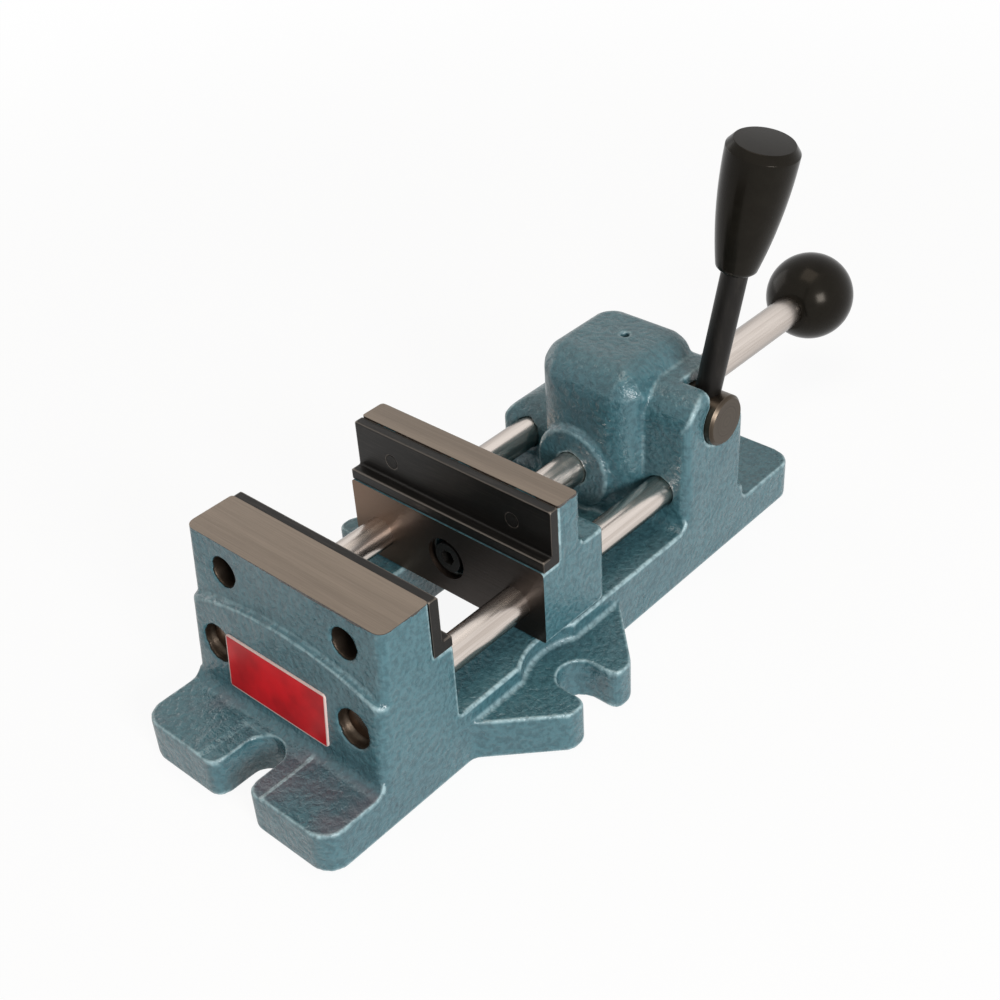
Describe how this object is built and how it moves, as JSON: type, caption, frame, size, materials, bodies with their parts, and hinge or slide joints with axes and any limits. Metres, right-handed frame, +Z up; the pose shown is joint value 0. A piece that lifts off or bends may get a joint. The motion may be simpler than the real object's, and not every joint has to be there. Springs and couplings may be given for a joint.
{
  "type": "drill press vise",
  "caption": "Drill press vise with a cast base, a jaw that slides on guide rods by a push-pull shaft with a ball knob, and a cam lever that locks the shaft.",
  "frame": {"origin": "on the underside, in the centre plane, below the clamping face of the fixed jaw plate", "axes": "+X to the side with the cam lever, +Y from the fixed jaw to the ball knob, +Z up"},
  "size_m": [0.154, 0.4034, 0.192],
  "materials": {
    "hammertone_enamel": "blue-grey hammertone enamel on cast iron, ground bare on the jaws' upper faces",
    "black_oxide_steel": "black oxide",
    "polished_steel": "ground and polished",
    "turned_steel": "turned, oiled",
    "satin_black_steel": "satin black",
    "black_phenolic": "moulded, glossy",
    "brass": "turned"
  },
  "bodies": {
    "base": {"base_casting": "hammertone_enamel", "fixed_jaw_plate": "black_oxide_steel", "fixed_plate_screws": "black_oxide_steel", "guide_rod_left": "polished_steel", "guide_rod_right": "polished_steel", "rod_set_screws": "black_oxide_steel", "cam_retaining_screw": "black_oxide_steel"},
    "jaw": {"moving_jaw": "hammertone_enamel", "moving_jaw_plate": "black_oxide_steel", "moving_plate_screws": "black_oxide_steel", "operating_shaft": "polished_steel", "nose_washer": "polished_steel", "nose_screw": "black_oxide_steel", "ball_knob": "black_phenolic", "ball_insert": "brass"},
    "lever": {"cam_shaft": "turned_steel", "lever_rod": "satin_black_steel", "lever_grip": "black_phenolic", "lever_insert": "brass"},
    "shoe": {"cam_shoe": "turned_steel"}
  },
  "joints": [
    {"name": "jaw_slide", "type": "slide", "parent": "base", "child": "jaw", "axis": [0, 1, 0], "range_m": [-0.0478, 0.0398]},
    {"name": "lever_turn", "type": "hinge", "parent": "base", "child": "lever", "pos_m": [0.0421, 0.1667, 0.0702], "axis": [-1, 0, 0], "range_deg": [-6, 72]},
    {"name": "shoe_slide", "type": "slide", "parent": "base", "child": "shoe", "axis": [0, 0, -1], "range_m": [-0.00013, 0.00142]}
  ],
  "couplings": [
    {"joint": "shoe_slide", "follows": "lever_turn", "m_per_rad": 0.001121}
  ]
}
